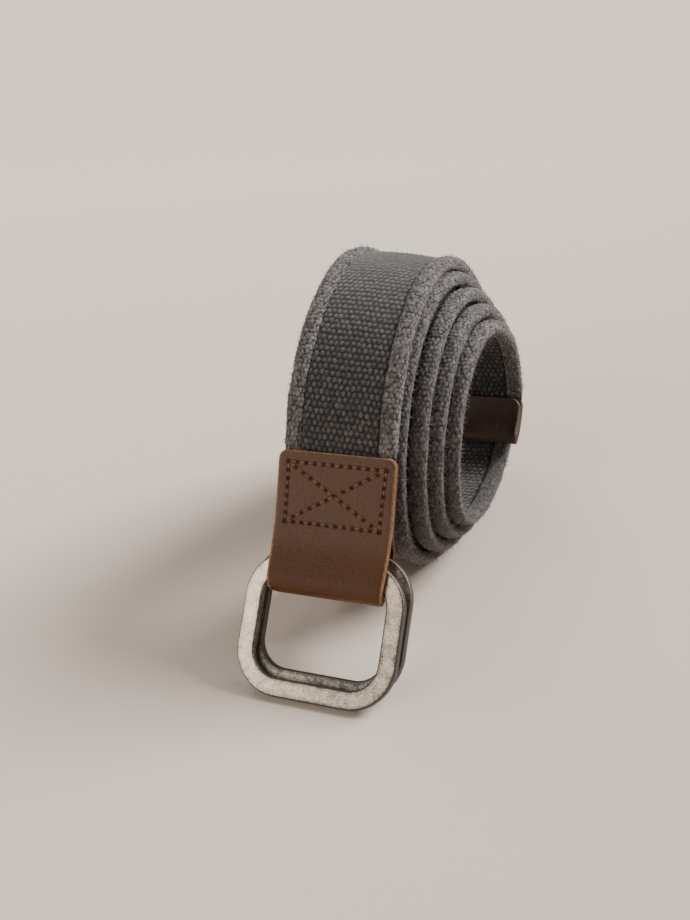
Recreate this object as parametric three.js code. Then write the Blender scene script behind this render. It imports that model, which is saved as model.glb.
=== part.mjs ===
// A heavy canvas belt, rolled up and standing on its round side, with its ring end leaning forward to
// the floor: one woven strap with thick round edges, a leather tab folded round two flat metal rings,
// and a leather tip on the strap's inner end.
import * as THREE from "three";

// Sizes in millimetres, angles in degrees. x runs across the strap, -y is towards the viewer, z is up.
const STRAP = { width: 38, edge: 4.15, edgeWidth: 6.2, panel: 2.4, pressed: 1.5, pressedRun: 2.5 };
const ROLL = {
  centre: 38.56, // height of the roll's middle over the floor
  radius: 59.8, // of the strap's middle line where the tail leaves the roll
  pitch: 5.72, // how much the radius shrinks in one turn
  rise: 0.95, // how much the middle of a turn climbs from one turn to the next
  drift: -0.9, // how much it moves along y
  sag: 0.322, // how much flatter the lower half is than the upper half
  tailSlope: 61, // the tail's slope to the floor where it leaves the roll
  turns: 4.555,
  restHalfAngle: 12, // the roll rests flat on the floor for this angle on both sides
  step: 8, // the angle between two sections
};
// The inner turns stand out to the right, a little more with each turn, and each turn wavers a bit.
const SIDE_SHIFT = [
  { turn: 0, shift: 0.9 },
  { turn: 0.08, shift: 0.4 },
  { turn: 0.14, shift: -0.2 },
  { turn: 0.2, shift: -1 },
  { turn: 0.27, shift: -1.5 },
  { turn: 0.36, shift: -1.5 },
  { turn: 0.5, shift: -0.7 },
  { turn: 0.67, shift: 0.4 },
  { turn: 0.85, shift: 1.5 },
  { turn: 1, shift: 2.1 },
  { turn: 1.1, shift: 1.9 },
  { turn: 1.22, shift: 1.7 },
  { turn: 1.4, shift: 2.9 },
  { turn: 1.67, shift: 5.5 },
  { turn: 2, shift: 7.3 },
  { turn: 2.2, shift: 7 },
  { turn: 2.4, shift: 8 },
  { turn: 2.67, shift: 9.9 },
  { turn: 3, shift: 11.2 },
  { turn: 3.2, shift: 12 },
  { turn: 4.2, shift: 15.9 },
  { turn: 4.6, shift: 17 },
];
// At the top of each turn the strap leans: its left edge stands further out than its right one. The
// rows give the angle over one turn, with none where the roll rests on the floor.
const LEAN = [
  { part: 0, angle: 0 },
  { part: 0.08, angle: 0 },
  { part: 0.14, angle: 1.3 },
  { part: 0.2, angle: 3.8 },
  { part: 0.26, angle: 5.3 },
  { part: 0.34, angle: 5.3 },
  { part: 0.4, angle: 3 },
  { part: 0.44, angle: 0.8 },
  { part: 0.46, angle: 0 },
  { part: 0.5, angle: 0 },
  { part: 1, angle: 0 },
];
// The tail runs straight down, bends a little at the stitched box and runs on into the fold.
const TAIL = { straight: 26, bendRun: 9, bend: -12, rest: 3, step: 3 };
const GAP = 0.3; // between pieces that touch
const LEATHER = { thickness: 1.4, tipThickness: 1.1, width: 38.6, backWidth: 36.6, corner: 3 };
// The ends of the strap and of the leather, as distances down the tail from the roll.
const TAB = { top: 6.6, backTop: 8.4, seamEnd: 29, strapEnd: 30 };
// The middle line of the leather strip's fold, seen from the side: down and out from the front ring's
// top bar, in the plane of that ring. It hangs slack below both bars.
const TAB_FOLD = [
  { down: -6, out: 2.8 },
  { down: -2, out: 2.9 },
  { down: 2.2, out: 3.1 },
  { down: 5.5, out: 3.15 },
  { down: 8.4, out: 1.6 },
  { down: 9.2, out: -1.8 },
  { down: 7.9, out: -5.4 },
  { down: 5, out: -7.9 },
  { down: 1.5, out: -8.9 },
  { down: -3.5, out: -8.6 },
  { down: -7.6, out: -7.9 },
  { down: -10.3, out: -5 },
];
const TIP = { overlap: 15 };
const RING = {
  width: 53.3,
  height: 44.8,
  bar: 5.8,
  thickness: 3.1,
  corner: 14.9, // of the outer edge at the foot
  topCorner: 14,
  bevel: 0.45,
  slope: 48, // of the front ring's face to the floor
  rearSlope: 47.6,
  foot: 101.4, // how far the front ring's foot stands in front of the roll's middle
  spacing: 4.6, // how far the rear ring's foot stands behind it
  side: 0.65, // how far the front ring stands to the right
  rearSide: 1.85,
};

const rad = THREE.MathUtils.degToRad;
const SOFT = { roughness: 0.95, metalness: 0 };
const material = (color, finish) => new THREE.MeshStandardMaterial({ color, ...finish });

// A value between the rows of a table, on a smooth curve through them.
function between(rows, key, at, value) {
  const curve = new THREE.CatmullRomCurve3(
    rows.map((row) => new THREE.Vector3(row[key], row[value], 0)),
    false,
    "catmullrom",
    0.5,
  );
  const last = rows.length - 1;
  let i = rows.findIndex((row) => row[key] > at) - 1;
  if (i < 0) i = at <= rows[0][key] ? 0 : last - 1;
  const share = (at - rows[i][key]) / (rows[i + 1][key] - rows[i][key]);
  return curve.getPoint(THREE.MathUtils.clamp((i + share) / last, 0, 1)).y;
}

// The strap's middle line in the roll: a spiral whose lower half sags and lies flat on the floor.
// Along each flat the height stays what it is in the flat's middle.
function rollPoint(turn) {
  const angle = rad(ROLL.tailSlope - 360 * turn);
  const firstFlat = (180 + ROLL.tailSlope) / 360;
  const flat = firstFlat + Math.round(turn - firstFlat);
  const flatHalf = ROLL.restHalfAngle / 360 + 1e-6;
  const level = Math.abs(turn - flat) < flatHalf ? flat : turn;
  const radius = ROLL.radius - ROLL.pitch * level;
  const up = Math.max(Math.cos(angle), -Math.cos(rad(ROLL.restHalfAngle)));
  return new THREE.Vector2(
    ROLL.drift * turn - (ROLL.radius - ROLL.pitch * turn) * Math.sin(angle),
    ROLL.centre + ROLL.rise * level + radius * up * (up < 0 ? 1 - ROLL.sag : 1),
  );
}

// The stations of the whole strap line, from the fold of the tab to the inner end: place, heading
// towards the inner end, and distance from where the tail leaves the roll (negative down the tail).
function strapLine() {
  const line = [];
  const start = rollPoint(0);
  const ahead = rollPoint(0.01).sub(rollPoint(-0.01));
  let slope = Math.atan2(ahead.y, ahead.x);
  const place = start.clone();
  const length = TAIL.straight + TAIL.bendRun + TAIL.rest;
  for (let down = TAIL.step; down <= length; down += TAIL.step) {
    const middle = down - TAIL.step / 2;
    const bent = THREE.MathUtils.clamp((middle - TAIL.straight) / TAIL.bendRun, 0, 1);
    const heading = slope + rad(TAIL.bend) * bent;
    place.x -= TAIL.step * Math.cos(heading);
    place.y -= TAIL.step * Math.sin(heading);
    line.unshift({ y: place.x, z: place.y, at: -down, turn: 0 });
  }
  let at = 0;
  let before = start;
  const steps = Math.round((ROLL.turns * 360) / ROLL.step);
  // The first section after the tail is where the roll's even steps begin, counted from the floor.
  const first = (ROLL.tailSlope % ROLL.step) / ROLL.step;
  for (let i = 0; i <= steps; i += 1) {
    const turn = (Math.max(i - 1 + first, 0) * ROLL.step) / 360;
    const point = rollPoint(turn);
    at += point.distanceTo(before);
    before = point;
    line.push({ y: point.x, z: point.y, at, turn });
  }
  return line;
}

const LINE = strapLine();

// The frame of the strap at a distance along its line: middle, outward direction and lean.
function frameAt(at) {
  const last = LINE.length - 1;
  let i = LINE.findIndex((station) => station.at > at) - 1;
  if (i < 0) i = at < 0 ? 0 : last - 1;
  const [a, b] = [LINE[i], LINE[i + 1]];
  const share = (at - a.at) / (b.at - a.at);
  const mix = (key) => a[key] + (b[key] - a[key]) * share;
  const before = LINE[Math.max(i - 1, 0)];
  const after = LINE[Math.min(i + 2, last)];
  const heading = (p, q) => Math.atan2(q.z - p.z, q.y - p.y);
  let h0 = heading(before, b);
  let h1 = heading(a, after);
  if (h0 - h1 > Math.PI) h1 += 2 * Math.PI;
  if (h1 - h0 > Math.PI) h0 += 2 * Math.PI;
  const h = h0 + (h1 - h0) * THREE.MathUtils.clamp(share, 0, 1);
  const turn = mix("turn");
  return {
    middle: new THREE.Vector3(between(SIDE_SHIFT, "turn", turn, "shift"), mix("y"), mix("z")),
    outward: new THREE.Vector3(0, -Math.sin(h), Math.cos(h)),
    lean: Math.tan(rad(between(LEAN, "part", turn % 1, "angle"))),
  };
}

// A point given across the strap, out from its middle line and at a distance along it. The strap leans
// about the middle of its right edge.
function onStrap(at, across, out) {
  const { middle, outward, lean } = frameAt(at);
  const leaned = out + lean * ((STRAP.width - STRAP.edgeWidth) / 2 - across);
  return middle.clone().addScaledVector(outward, leaned).add(new THREE.Vector3(across, 0, 0));
}

// A closed body through a row of sections with equal numbers of points, with flat ends. A ring of
// sections that closes on itself has no ends.
function loft(sections, closed = false) {
  const size = sections[0].length;
  const points = sections.flat();
  const faces = [];
  const rows = closed ? sections.length : sections.length - 1;
  for (let row = 0; row < rows; row += 1) {
    const here = row * size;
    const next = ((row + 1) % sections.length) * size;
    for (let i = 0; i < size; i += 1) {
      const j = (i + 1) % size;
      faces.push(here + i, here + j, next + j, here + i, next + j, next + i);
    }
  }
  if (!closed) {
    const end = (sections.length - 1) * size;
    for (const [a, b, c] of capFaces(sections[0])) faces.push(a, c, b);
    for (const [a, b, c] of capFaces(sections.at(-1))) faces.push(end + a, end + b, end + c);
  }
  const geometry = new THREE.BufferGeometry().setFromPoints(points);
  geometry.setIndex(faces);
  geometry.computeVertexNormals();
  return geometry;
}

// The triangles of one flat end, worked out in the section's own plane.
function capFaces(section) {
  const [origin, along] = [section[0], section[1].clone().sub(section[0]).normalize()];
  const normal = new THREE.Vector3();
  section.forEach((p, i) => {
    const q = section[(i + 1) % section.length];
    normal.add(p.clone().sub(origin).cross(q.clone().sub(origin)));
  });
  const across = normal.normalize().clone().cross(along);
  const flat = section.map((p) => {
    const offset = p.clone().sub(origin);
    return new THREE.Vector2(offset.dot(along), offset.dot(across));
  });
  return THREE.ShapeUtils.triangulateShape(flat, []);
}

// The strap's section: a thin panel between two thick oval edges, each with a narrow flat on its faces.
// Where the leather presses the strap, pressed is 1 and the section is a flat band.
const FLAT_ANGLE = 70;
const EDGE_ANGLES = [130, 180 - FLAT_ANGLE, FLAT_ANGLE, 35, 0, -35, -FLAT_ANGLE, FLAT_ANGLE - 180, -130];
const PRESSED_PANEL = 0.72; // the panel's share of the edge's height where the strap is pressed

function strapSection(at, pressed) {
  const edge = THREE.MathUtils.lerp(STRAP.edge, STRAP.pressed, pressed) / 2;
  const panel = Math.min(STRAP.panel / 2, edge * PRESSED_PANEL);
  const reach = edge / Math.sin(rad(FLAT_ANGLE));
  const half = STRAP.edgeWidth / 2;
  const side = STRAP.width / 2 - half;
  const round = EDGE_ANGLES.map((a) => [side + half * Math.cos(rad(a)), reach * Math.sin(rad(a))]);
  const neck = side - half * Math.sqrt(1 - (panel / reach) ** 2);
  const right = [[neck, panel], ...round, [neck, -panel]];
  const left = right.map(([x, n]) => [-x, n]).reverse();
  return [...right, ...left].map(([x, n]) => onStrap(at, x, n));
}

function webbingStrap() {
  const inner = LINE.at(-1).at;
  const stations = LINE.map((station) => station.at).filter((at) => at > -TAB.strapEnd);
  const blend = THREE.MathUtils.smoothstep;
  const stops = [
    -TAB.strapEnd,
    -TAB.top + GAP,
    -TAB.top + GAP + STRAP.pressedRun,
    inner - TIP.overlap - 2 * GAP - STRAP.pressedRun,
    inner - TIP.overlap - 2 * GAP,
  ];
  const places = [...new Set([...stations, ...stops])].sort((a, b) => a - b);
  const apart = places.filter((at, i) => i === 0 || stops.includes(at) || at - places[i - 1] > 1.5);
  return loft(
    apart.map((at) => {
      const underTab = 1 - blend(at, stops[1], stops[2]);
      const underTip = blend(at, stops[3], stops[4]);
      return strapSection(at, Math.max(underTab, underTip));
    }),
  );
}

// A leather strip along a row of places on its middle line, with rounded corners at its ends. Past its
// middle it narrows to the width of its far end.
function leatherStrip(places, thickness, endWidth) {
  const lengths = [0];
  places.forEach((p, i) => {
    if (i > 0) lengths.push(lengths[i - 1] + p.distanceTo(places[i - 1]));
  });
  const total = lengths.at(-1);
  return loft(
    places.map((place, i) => {
      const before = places[Math.max(i - 1, 0)];
      const after = places[Math.min(i + 1, places.length - 1)];
      const heading = Math.atan2(after.z - before.z, after.y - before.y);
      const outward = new THREE.Vector3(0, Math.sin(heading), -Math.cos(heading));
      const fromEnd = Math.min(lengths[i], total - lengths[i], LEATHER.corner);
      const left = LEATHER.corner - fromEnd;
      const narrowed = THREE.MathUtils.smoothstep(lengths[i] / total, 0.45, 0.6);
      const half = THREE.MathUtils.lerp(LEATHER.width, endWidth, narrowed) / 2;
      const width = half - LEATHER.corner + Math.sqrt(LEATHER.corner ** 2 - left * left);
      return [
        [width, -thickness / 2],
        [width, thickness / 2],
        [-width, thickness / 2],
        [-width, -thickness / 2],
      ].map(([across, out]) => {
        return place.clone().addScaledVector(outward, out).add(new THREE.Vector3(across, 0, 0));
      });
    }),
  );
}

// The first millimetres of a strip, close together so that its corners come out round.
const CORNER_STEPS = [0.02, 0.4, 0.9, 1.6, 2.4, 3].map((step) => step * (LEATHER.corner / 3));

function leatherTab(hold) {
  const out = STRAP.pressed / 2 + GAP + LEATHER.thickness / 2;
  const face = (top) => [...CORNER_STEPS.map((step) => top + step), 14, 20, 26, TAB.seamEnd];
  const front = face(TAB.top).map((down) => onStrap(-down, 0, out));
  const back = face(TAB.backTop).map((down) => onStrap(-down, 0, -out)).reverse();
  const fold = TAB_FOLD.map((row) => {
    return hold.bar
      .clone()
      .setX(SIDE_SHIFT[0].shift)
      .addScaledVector(hold.downward, row.down)
      .addScaledVector(hold.outward, row.out);
  });
  const curve = new THREE.CatmullRomCurve3([front.at(-1), ...fold, back[0]]);
  const places = [...front, ...curve.getSpacedPoints(40).slice(1, -1), ...back];
  return leatherStrip(places, LEATHER.thickness, LEATHER.backWidth);
}

function leatherTip() {
  const inner = LINE.at(-1).at;
  const out = STRAP.pressed / 2 + GAP + LEATHER.tipThickness / 2;
  const start = inner - TIP.overlap;
  const face = [...CORNER_STEPS.map((step) => start + step), inner - 9, inner - 5, inner];
  const outside = face.map((at) => onStrap(at, 0, out));
  const inside = face.map((at) => onStrap(at, 0, -out)).reverse();
  const bend = [60, 30, 0, -30, -60].map((angle) => {
    return onStrap(inner + GAP + out * Math.cos(rad(angle)), 0, out * Math.sin(rad(angle)));
  });
  return leatherStrip([...outside, ...bend, ...inside], LEATHER.tipThickness, LEATHER.width);
}

// Where a ring stands: the middle of its top bar, and the directions down and out of its plane. Its
// foot touches the floor at a distance in front of the roll's middle.
function standing(side, foot, slope) {
  const reach = RING.height - RING.bar / 2;
  const back = RING.thickness / 2 - RING.bevel;
  const [cos, sin] = [Math.cos(rad(slope)), Math.sin(rad(slope))];
  return {
    bar: new THREE.Vector3(side, reach * cos - back * sin - foot, reach * sin + back * cos),
    downward: new THREE.Vector3(0, -cos, -sin),
    outward: new THREE.Vector3(0, -sin, cos),
  };
}

// One flat ring with a bevelled bar, from its top bar's middle line down its sloping plane.
function ring(hold) {
  const { width, height, bar, corner, topCorner, bevel, thickness } = RING;
  const halfBar = bar / 2;
  const foot = { side: width / 2 - corner, down: height - corner - halfBar, radius: corner };
  const top = { side: width / 2 - topCorner, down: topCorner - halfBar, radius: topCorner };
  const corners = [
    { ...top, from: -90 },
    { ...foot, from: 0 },
    { ...foot, side: -foot.side, from: 90 },
    { ...top, side: -top.side, from: 180 },
  ];
  const section = [
    [bevel - halfBar, thickness / 2],
    [-halfBar, thickness / 2 - bevel],
    [-halfBar, bevel - thickness / 2],
    [bevel - halfBar, -thickness / 2],
    [halfBar - bevel, -thickness / 2],
    [halfBar, bevel - thickness / 2],
    [halfBar, thickness / 2 - bevel],
    [halfBar - bevel, thickness / 2],
  ];
  const sections = [];
  for (const { side: x, down, radius, from } of corners) {
    for (let angle = from; angle <= from + 90; angle += 11.25) {
      const [cos, sin] = [Math.cos(rad(angle)), Math.sin(rad(angle))];
      sections.push(
        section.map(([side, out]) => {
          const reach = radius - halfBar + side;
          return new THREE.Vector3(x + reach * cos, 0, 0)
            .add(hold.bar)
            .addScaledVector(hold.downward, down + reach * sin)
            .addScaledVector(hold.outward, out);
        }),
      );
    }
  }
  return loft(sections, true);
}

const belt = new THREE.Group();
function add(name, geometry, look) {
  const mesh = new THREE.Mesh(geometry, look);
  mesh.name = name;
  belt.add(mesh);
  return mesh;
}

const front = standing(RING.side, RING.foot, RING.slope);
const rear = standing(RING.rearSide, RING.foot - RING.spacing, RING.rearSlope);
const leather = material("#5b3f30", { roughness: 0.6, metalness: 0 });
const metal = material("#a59d94", { roughness: 0.38, metalness: 1 });
add("webbing_strap", webbingStrap(), material("#5a5856", SOFT));
add("leather_tab", leatherTab(front), leather.clone());
add("leather_tip", leatherTip(), leather.clone());
add("ring_front", ring(front), metal.clone());
add("ring_rear", ring(rear), metal.clone());

// The part's origin is the middle of the underside of its box.
const box = new THREE.Box3().setFromObject(belt);
const middle = box.getCenter(new THREE.Vector3());
belt.position.set(-middle.x, -middle.y, -box.min.z);

export default belt;
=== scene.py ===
"""Looks of a rolled canvas belt: woven webbing, stitched leather and two antiqued metal rings."""

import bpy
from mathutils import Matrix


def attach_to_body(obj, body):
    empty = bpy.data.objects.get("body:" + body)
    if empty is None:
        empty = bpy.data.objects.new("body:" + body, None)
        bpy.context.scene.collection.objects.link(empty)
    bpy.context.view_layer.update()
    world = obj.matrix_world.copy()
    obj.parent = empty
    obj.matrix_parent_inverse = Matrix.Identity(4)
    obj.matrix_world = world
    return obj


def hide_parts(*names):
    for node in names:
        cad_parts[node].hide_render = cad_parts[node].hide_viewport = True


bl_info = {
    "name": "Rolled canvas belt",
    "version": (1, 0, 0),
    "blender": (4, 5, 0),
    "location": "3D View > Sidebar > Belt",
    "description": "Makes the webbing, leather, stitching and rings of a rolled belt over its packed solids",
    "category": "Object",
}

import bpy
import numpy as np
from bpy.props import FloatProperty, FloatVectorProperty, IntProperty, PointerProperty, StringProperty
from mathutils import Matrix

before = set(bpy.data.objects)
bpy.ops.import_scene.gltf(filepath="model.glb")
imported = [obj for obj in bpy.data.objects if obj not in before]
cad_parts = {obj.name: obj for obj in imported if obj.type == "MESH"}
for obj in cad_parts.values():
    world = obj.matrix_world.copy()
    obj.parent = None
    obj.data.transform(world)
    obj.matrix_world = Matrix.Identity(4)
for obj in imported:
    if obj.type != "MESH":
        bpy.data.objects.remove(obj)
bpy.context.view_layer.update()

# Shapes are worked out in millimetres and go into meshes in metres. The tables of sizes are the solids' own,
# apart from what a comment says.
MM = 0.001
ORIGIN = np.array([-5.099, 21.361, 0.0])  # where the roll's own frame lies in the part's frame

# The roll is a spiral: its first radius, how much it loses in a turn, how its middle climbs and drifts, how
# much its lower half sags, and how many turns it has.
ROLL = {
    "centre": 38.56, "radius": 59.8, "pitch": 5.72, "rise": 0.95, "drift": -0.9, "sag": 0.322,
    "tail_slope": 61.0, "end_turn": 4.5472, "rest_half_angle": 12.0,
}
# How far the strap's middle lies to the right, over the turns.
SIDE_SHIFT = [
    (0, 0.9), (0.08, 0.4), (0.14, -0.2), (0.2, -1), (0.27, -1.5), (0.36, -1.5), (0.5, -0.7), (0.67, 0.4),
    (0.85, 1.5), (1, 2.1), (1.1, 1.9), (1.22, 1.7), (1.4, 2.9), (1.67, 5.5), (2, 7.3), (2.2, 7),
    (2.4, 8), (2.67, 9.9), (3, 11.2), (3.2, 12), (4.2, 15.9), (4.6, 17),
]
# How far the strap leans to the left about its right edge, in degrees, over every single turn.
LEAN = [
    (0, 0), (0.08, 0), (0.14, 1.3), (0.2, 3.8), (0.26, 5.3), (0.34, 5.3), (0.4, 3), (0.44, 0.8),
    (0.46, 0), (0.5, 0), (1, 0),
]
# The tail goes straight down from the roll and then bends a little, by so many degrees.
TAIL = {"straight": 26.0, "bend_run": 9.0, "bend": -12.0, "length": 38.0}
STRAP = {"width": 38.0, "edge_width": 6.2, "panel": 2.4, "pressed": 1.5, "pressed_run": 2.5}
EDGE_HALF = STRAP["edge_width"] / 2
EDGE_MIDDLE = STRAP["width"] / 2 - EDGE_HALF  # from the strap's middle to an edge's
GAP = 0.3  # between the strap and the leather
LEATHER = {
    "thickness": 1.4, "tip_thickness": 1.1, "corner": 3.0, "rim": 0.45, "rim_drop": 0.18, "rim_run": 2.0,
    "hole_depth": 0.42,
}
LEATHER_INSIDE = STRAP["pressed"] / 2 + GAP  # from the strap's middle to the leather
LIP = LEATHER_INSIDE - 0.05  # how far a layer reaches inwards beside the strap, to just short of the middle
# How far down the tail the tab's two layers begin, and how far its seam and the strap reach.
TAB = {"top": 6.6, "back_top": 8.4, "seam_end": 29.0, "strap_end": 30.0}
# The tab's line in its fold: (down, out) from the middle of the front ring's top bar.
TAB_FOLD = [
    (-6, 2.8), (-2, 2.9), (2.2, 3.1), (5.5, 3.15), (8.4, 1.6), (9.2, -1.8),
    (7.9, -5.4), (5, -7.9), (1.5, -8.9), (-3.5, -8.6), (-7.6, -7.9), (-10.3, -5),
]
# Half the tab's width over the share of its length. The solid's is 19.3 in front and 18.3 behind; here the
# tab is a little wider in front and slimmer where it runs up behind the rings, as in the photograph.
TAB_HALVES = [(0, 19.9), (0.3, 19.8), (0.44, 19.3), (0.53, 17.5), (0.7, 17.5), (0.8, 18.8), (1, 18.8)]
TIP_OVERLAP = 15.0  # how much of the strap's inner end the tip covers
TIP_HALF = 18.7  # half the tip's width, 0.6 mm less than the solid's, as in the photograph
# The rings' sizes, their slopes in degrees, and their places across the strap and in front of the roll.
RING = {
    "width": 53.3, "height": 44.8, "bar": 5.8, "thickness": 3.1, "corner": 14.9, "top_corner": 14.0,
    "bevel": 0.45, "slope": 48.0, "rear_slope": 47.6, "foot": 101.4, "spacing": 4.6, "side": 0.65,
    "rear_side": 1.25,  # 0.6 mm to the left of the solid, where the photograph shows it
}
LAYER_STEP, TAB_STEP = 0.35, 0.36  # between the points of a layer's line and of the whole tab's line
TAB_BLUR = 0.5
HOLE_LENGTH = 0.55  # between the two ends of a stitch hole
TAB_HOLE, TIP_HOLE = 0.36, 0.32  # how wide the leather is drawn in at a stitch hole
# The stitched box and cross on the tab: from (across, down) to (across, down), and its stitches.
TAB_SEAMS = [
    (-15.94, 10.2, 16.7, 10.2, 11),
    (16.7, 10.2, 15.8, 28.95, 7),
    (15.8, 28.95, -15.94, 28.95, 11),
    (-15.94, 28.95, -15.94, 10.2, 7),
    (-15.94, 10.2, 15.8, 28.95, 12),
    (-15.94, 28.95, 16.7, 10.2, 12),
]
# The seam on the tip: from (across, before the end) to (across, before the end), and its stitches.
TIP_SEAMS = [
    (-16.2, 12.6, 16.2, 12.6, 9),
    (16.2, 12.6, 16.2, 3.2, 3),
    (16.2, 3.2, -16.2, 3.2, 9),
    (-16.2, 3.2, -16.2, 12.6, 3),
]


# Numbers


def cell_random(i, j, seed):
    """A number from 0 to 1 for each cell (i, j): the fraction of a large multiple of a sine of both."""
    value = np.sin(i * 127.1 + j * 311.7 + seed * 74.7) * 43758.5453
    return value - np.floor(value)


def drift_noise(x, y, seed):
    """Soft noise from -1 to 1: the random numbers of the four cells around a point, blended smoothly."""
    i, j = np.floor(x), np.floor(y)
    fx, fy = x - i, y - j
    fx, fy = fx * fx * (3 - 2 * fx), fy * fy * (3 - 2 * fy)
    near = cell_random(i, j, seed) * (1 - fx) + cell_random(i + 1, j, seed) * fx
    far = cell_random(i, j + 1, seed) * (1 - fx) + cell_random(i + 1, j + 1, seed) * fx
    return 2 * (near * (1 - fy) + far * fy) - 1


def smooth_step(x, low, high):
    """0 below low, 1 above high, and 3t^2 - 2t^3 between."""
    t = np.clip((x - low) / (high - low), 0, 1)
    return t * t * (3 - 2 * t)


def table_value(rows, at):
    """Values between the rows of a table, on a Catmull-Rom curve through them."""
    keys, values = np.array(rows, float).T
    i = np.clip(np.searchsorted(keys, at, "right") - 1, 0, len(keys) - 2)
    t = np.clip((at - keys[i]) / (keys[i + 1] - keys[i]), 0, 1)
    padded = np.concatenate([[2 * values[0] - values[1]], values, [2 * values[-1] - values[-2]]])
    a, b, c, d = (padded[i + k] for k in range(4))
    return 0.5 * (2 * b + (c - a) * t + (2 * a - 5 * b + 4 * c - d) * t**2 + (3 * b - a - 3 * c + d) * t**3)


def softened(values, sigma, step):
    """A row of numbers blurred by a bell curve, with its ends carried on straight."""
    reach = int(np.ceil(3 * sigma / step))
    weights = np.exp(-0.5 * (np.arange(-reach, reach + 1) * step / sigma) ** 2)
    ahead = values[0] - (values[1:reach + 1] - values[0])[::-1]
    beyond = values[-1] + (values[-1] - values[-reach - 1:-1])[::-1]
    return np.convolve(np.concatenate([ahead, values, beyond]), weights / weights.sum(), "valid")


def run_along(points):
    """The distance of each point of a row from the first one: the sum of the steps between them."""
    return np.concatenate([[0], np.cumsum(np.hypot(*np.diff(points, axis=0).T))])


def points_at(at, run, points):
    """The points of a row at some distances along it, on the straight lines between its own."""
    return np.stack([np.interp(at, run, points[:, k]) for k in range(2)], axis=-1)


# The strap's line


def roll_line(turn):
    """The strap's middle line in the roll, as y and z at each turn: a spiral with a lower half that sags
    by a share and stays level for some degrees on both sides of its lowest point."""
    angle = np.radians(ROLL["tail_slope"] - 360 * turn)
    first = (180 + ROLL["tail_slope"]) / 360
    flat = first + np.round(turn - first)
    half = ROLL["rest_half_angle"]
    level = np.where(np.abs(turn - flat) < half / 360, flat, turn)
    up = np.maximum(np.cos(angle), -np.cos(np.radians(half)))
    up = np.where(up < 0, up * (1 - ROLL["sag"]), up)
    y = ROLL["drift"] * turn - (ROLL["radius"] - ROLL["pitch"] * turn) * np.sin(angle)
    z = ROLL["centre"] + ROLL["rise"] * level + (ROLL["radius"] - ROLL["pitch"] * level) * up
    return y, z


class StrapLine:
    """The strap's middle line from the fold of the tab to its inner end. Distances are negative down the
    tail. The line is the roll's spiral and, before it, a straight tail that bends a little. Both are
    blurred by a bell curve, so that they run into each other smoothly."""

    STEP = 0.25
    TAIL_STEP = 0.1
    BLUR = 1.6

    def __init__(self):
        turn = np.linspace(0, ROLL["end_turn"], 30000)
        y, z = roll_line(turn)
        ahead_y, ahead_z = roll_line(np.array([-0.01, 0.01]))
        slope = np.arctan2(ahead_z[1] - ahead_z[0], ahead_y[1] - ahead_y[0])
        down = np.arange(self.TAIL_STEP, TAIL["length"], self.TAIL_STEP)
        bent = np.clip((down - self.TAIL_STEP / 2 - TAIL["straight"]) / TAIL["bend_run"], 0, 1)
        heading = slope + np.radians(TAIL["bend"]) * bent
        tail_y = (y[0] - np.cumsum(self.TAIL_STEP * np.cos(heading)))[::-1]
        tail_z = (z[0] - np.cumsum(self.TAIL_STEP * np.sin(heading)))[::-1]
        at = np.concatenate([-down[::-1], run_along(np.stack([y, z], axis=-1))])
        self.at = np.arange(at[0], at[-1], self.STEP)
        self.turn = np.interp(self.at, at, np.concatenate([0 * down, turn]))
        self.y = softened(np.interp(self.at, at, np.concatenate([tail_y, y])), self.BLUR, self.STEP)
        self.z = softened(np.interp(self.at, at, np.concatenate([tail_z, z])), self.BLUR, self.STEP)
        self.heading = np.unwrap(np.arctan2(np.gradient(self.z), np.gradient(self.y)))
        self.side = table_value(SIDE_SHIFT, self.turn)
        self.lean = np.tan(np.radians(table_value(LEAN, np.mod(self.turn, 1))))
        self.end = self.at[-1]

    def place(self, at, across, out):
        """Points across the strap and out from its middle line, at distances along it. Past the line's
        ends it runs on straight. The lean adds its tangent, times the distance from the right edge."""
        at, across, out = np.broadcast_arrays(at, across, out)
        over = at - np.clip(at, self.at[0], self.end)
        heading = np.interp(at, self.at, self.heading)
        x = np.interp(at, self.at, self.side) + across
        out = out + np.interp(at, self.at, self.lean) * (EDGE_MIDDLE - across)
        y = np.interp(at, self.at, self.y) + over * np.cos(heading) - out * np.sin(heading)
        z = np.interp(at, self.at, self.z) + over * np.sin(heading) + out * np.cos(heading)
        return np.stack([x, y, z], axis=-1)

    def turn_at(self, at):
        """How many turns the line has made at distances along it."""
        return np.interp(at, self.at, self.turn)

    def at_turn(self, turn):
        """The distance along the line where a turn is reached."""
        return float(np.interp(turn, self.turn[self.at >= 0], self.at[self.at >= 0]))


LINE = StrapLine()


def pressed(at):
    """How far the leather presses the strap flat at each place: 1 under the leather, 0 in the roll."""
    under_tab = 1 - smooth_step(at, -TAB["top"] + GAP, -TAB["top"] + GAP + STRAP["pressed_run"])
    tip = LINE.end - TIP_OVERLAP - 2 * GAP
    return np.maximum(under_tab, smooth_step(at, tip - STRAP["pressed_run"], tip))


# Meshes


def grid_quads(rows, columns, wrap_rows=False, wrap_columns=False):
    """Quads between neighbouring points of a grid that is stored row by row."""
    row = np.arange(rows if wrap_rows else rows - 1)
    column = np.arange(columns if wrap_columns else columns - 1)
    row, column = np.meshgrid(row, column, indexing="ij")
    next_row, next_column = (row + 1) % rows, (column + 1) % columns
    corners = [(row, column), (row, next_column), (next_row, next_column), (next_row, column)]
    return np.stack([r * columns + c for r, c in corners], axis=-1).reshape(-1, 4)


def outward(points, quads):
    """The quads, turned over if the closed shape they make has a negative volume."""
    a, b, c, d = (points[quads[:, k]] for k in range(4))
    volume = np.einsum("ij,ij->i", np.cross(a, b), c) + np.einsum("ij,ij->i", np.cross(a, c), d)
    return quads if volume.sum() > 0 else quads[:, ::-1]


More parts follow.
